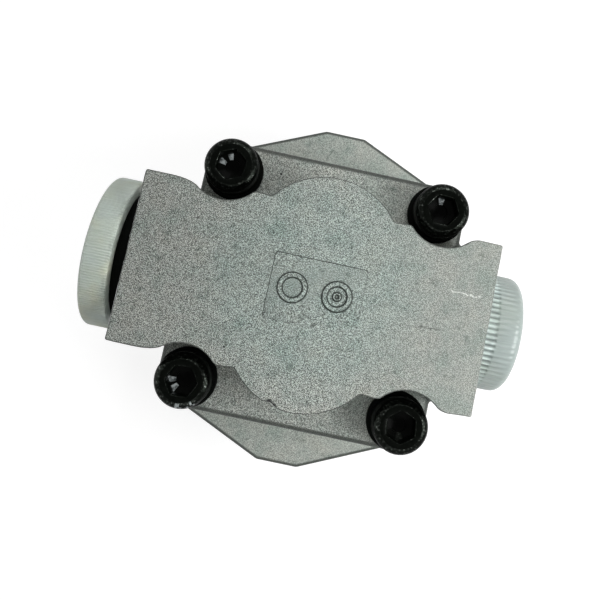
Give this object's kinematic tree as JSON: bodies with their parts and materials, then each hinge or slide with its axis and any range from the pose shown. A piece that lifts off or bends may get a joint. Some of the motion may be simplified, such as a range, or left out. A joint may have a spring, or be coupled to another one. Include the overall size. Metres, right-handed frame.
{
  "type": "gear pump",
  "caption": "External gear pump with a cast case, side ports closed by ribbed screw plugs, a splined shaft and socket head screws through its mounting cover.",
  "frame": {"origin": "centre of the four through screws on the mounting face of the cover", "axes": "+Z away from the mounting face towards the case's blind end, X through the two ports with the inlet on -X, +Y from the driven gear to the drive gear"},
  "size_m": [0.1283, 0.117, 0.081],
  "materials": {
    "cast_aluminium": "rough as cast, light grey",
    "block_aluminium": "machined",
    "black_steel": "black oxide, oiled",
    "plain_steel": "ground",
    "spring_steel": "phosphated",
    "bearing_bronze": "bored",
    "black_rubber": "smooth moulded",
    "backup_plastic": "plain",
    "plug_plastic": "white, a little see-through, moulded"
  },
  "bodies": {
    "housing": {"gear_case": "cast_aluminium", "front_cover": "cast_aluminium", "case_seal_ring": "black_rubber", "front_bearing_block": "block_aluminium", "rear_bearing_block": "block_aluminium", "drive_front_bush": "bearing_bronze", "drive_rear_bush": "bearing_bronze", "driven_front_bush": "bearing_bronze", "driven_rear_bush": "bearing_bronze", "front_pressure_seal": "black_rubber", "front_backup_ring": "backup_plastic", "rear_pressure_seal": "black_rubber", "rear_backup_ring": "backup_plastic", "shaft_seal": "black_rubber", "seal_spring": "spring_steel", "seal_circlip": "spring_steel", "dowel_pins": "plain_steel", "mounting_screws": "black_steel", "screw_washers": "black_steel", "cover_screws": "black_steel"},
    "drive_shaft": {"drive_gear_shaft": "plain_steel"},
    "driven_shaft": {"driven_gear_shaft": "plain_steel"},
    "inlet_ring": {"inlet_plug_seal": "black_rubber"},
    "inlet_plug_body": {"inlet_plug": "plug_plastic"},
    "outlet_ring": {"outlet_plug_seal": "black_rubber"},
    "outlet_plug_body": {"outlet_plug": "plug_plastic"}
  },
  "joints": [
    {"name": "drive_shaft_spin", "type": "hinge", "parent": "housing", "child": "drive_shaft", "pos_m": [0, 0.01125, 0.03815], "axis": [0, 0, 1], "continuous": true},
    {"name": "driven_shaft_spin", "type": "hinge", "parent": "housing", "child": "driven_shaft", "pos_m": [0, -0.01125, 0.03815], "axis": [0, 0, 1], "continuous": true},
    {"name": "inlet_plug_slide", "type": "slide", "parent": "housing", "child": "inlet_ring", "axis": [-1, 0, 0], "range_m": [0, 0.01616]},
    {"name": "inlet_plug_turn", "type": "hinge", "parent": "inlet_ring", "child": "inlet_plug_body", "pos_m": [-0.0542, 0, 0.03815], "axis": [-1, 0, 0], "range_deg": [0, 2530]},
    {"name": "outlet_plug_slide", "type": "slide", "parent": "housing", "child": "outlet_ring", "axis": [1, 0, 0], "range_m": [0, 0.01633]},
    {"name": "outlet_plug_turn", "type": "hinge", "parent": "outlet_ring", "child": "outlet_plug_body", "pos_m": [0.0496, 0, 0.03815], "axis": [1, 0, 0], "range_deg": [0, 3250]}
  ],
  "couplings": [
    {"joint": "driven_shaft_spin", "follows": "drive_shaft_spin", "ratio": -1},
    {"joint": "inlet_plug_turn", "follows": "inlet_plug_slide", "rad_per_m": 2721.2},
    {"joint": "outlet_plug_turn", "follows": "outlet_plug_slide", "rad_per_m": 3463.7}
  ]
}
